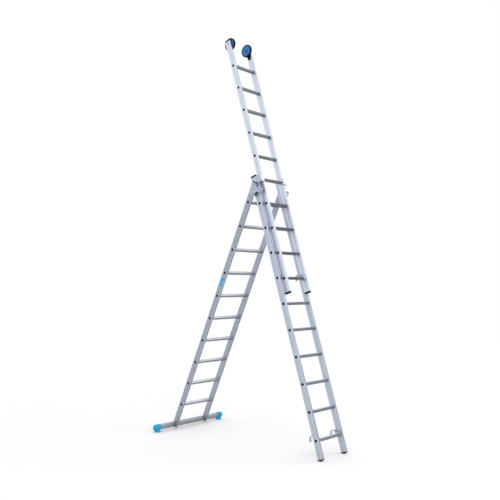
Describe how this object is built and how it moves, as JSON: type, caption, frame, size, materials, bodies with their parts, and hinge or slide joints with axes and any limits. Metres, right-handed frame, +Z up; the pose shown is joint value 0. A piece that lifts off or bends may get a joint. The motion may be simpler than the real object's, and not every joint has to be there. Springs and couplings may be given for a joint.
{
  "type": "extension ladder",
  "caption": "Combination extension ladder standing open as an A, top section run out, with wall wheels, rung hooks and a stabiliser bar.",
  "frame": {"origin": "on the floor under the middle of the whole ladder", "axes": "+Z up, +X along the rungs to the right as seen by someone climbing, +Y from the climbing side to the stabiliser side"},
  "size_m": [1.11, 2.1618, 4.5322],
  "materials": {
    "aluminium": "extruded, satin",
    "bracket_steel": "grey coated",
    "zinc_steel": "zinc plated",
    "black_plastic": "moulded, matt",
    "black_rubber": "matt",
    "blue_plastic": "moulded, satin",
    "blue_hub": "moulded, satin",
    "label_film": "gloss film"
  },
  "bodies": {
    "lower_section": {"lower_stile_left": "aluminium", "lower_stile_right": "aluminium", "lower_rungs": "aluminium", "lower_top_caps": "black_plastic", "lower_end_plugs": "black_plastic", "stabiliser_bar": "aluminium", "stabiliser_foot_left": "blue_plastic", "stabiliser_foot_right": "blue_plastic", "stabiliser_bolts": "zinc_steel", "stabiliser_nuts": "zinc_steel", "lower_guide_left": "bracket_steel", "lower_guide_right": "bracket_steel", "lower_guide_rivets": "zinc_steel", "label_plate": "label_film"},
    "hinge_shoes": {"hinge_shoe_left": "bracket_steel", "hinge_shoe_right": "bracket_steel", "hinge_pins": "zinc_steel", "hinge_bushes": "black_plastic", "hinge_nuts": "zinc_steel"},
    "middle_section": {"middle_stile_left": "aluminium", "middle_stile_right": "aluminium", "middle_rungs": "aluminium", "middle_top_caps": "black_plastic", "middle_foot_left": "black_rubber", "middle_foot_right": "black_rubber", "middle_guide_left": "aluminium", "middle_guide_right": "aluminium", "middle_guide_rivets": "zinc_steel", "middle_hook_left": "bracket_steel", "middle_hook_right": "bracket_steel", "middle_stop_rivets": "zinc_steel"},
    "top_section": {"top_stile_left": "aluminium", "top_stile_right": "aluminium", "top_rungs": "aluminium", "top_end_caps": "black_plastic", "top_tail_caps": "black_plastic", "top_hook_left": "bracket_steel", "top_hook_right": "bracket_steel", "top_stop_rivets": "zinc_steel", "wheel_bracket_left": "black_plastic", "wheel_bracket_right": "black_plastic", "axle_bolt_left": "zinc_steel", "axle_bolt_right": "zinc_steel", "axle_spacers": "zinc_steel", "axle_nuts": "zinc_steel"},
    "wheel_left": {"wheel_hub_left": "blue_hub", "wheel_tyre_left": "black_rubber", "wheel_bush_left": "zinc_steel"},
    "wheel_right": {"wheel_hub_right": "blue_hub", "wheel_tyre_right": "black_rubber", "wheel_bush_right": "zinc_steel"}
  },
  "joints": [
    {"name": "hinge_fold", "type": "hinge", "parent": "lower_section", "child": "hinge_shoes", "pos_m": [0, -0.14803, 2.69527], "axis": [1, 0, 0], "range_deg": [0, 41.3]},
    {"name": "middle_slide", "type": "slide", "parent": "hinge_shoes", "child": "middle_section", "axis": [0, 0.3057, 0.9521], "range_m": [0, 1.68]},
    {"name": "top_slide", "type": "slide", "parent": "middle_section", "child": "top_section", "axis": [0, 0.3057, 0.9521], "range_m": [-1.68, 0]},
    {"name": "wheel_left_spin", "type": "hinge", "parent": "top_section", "child": "wheel_left", "pos_m": [-0.141, 0.31788, 4.45718], "axis": [1, 0, 0], "continuous": true},
    {"name": "wheel_right_spin", "type": "hinge", "parent": "top_section", "child": "wheel_right", "pos_m": [0.141, 0.31788, 4.45718], "axis": [1, 0, 0], "continuous": true}
  ]
}
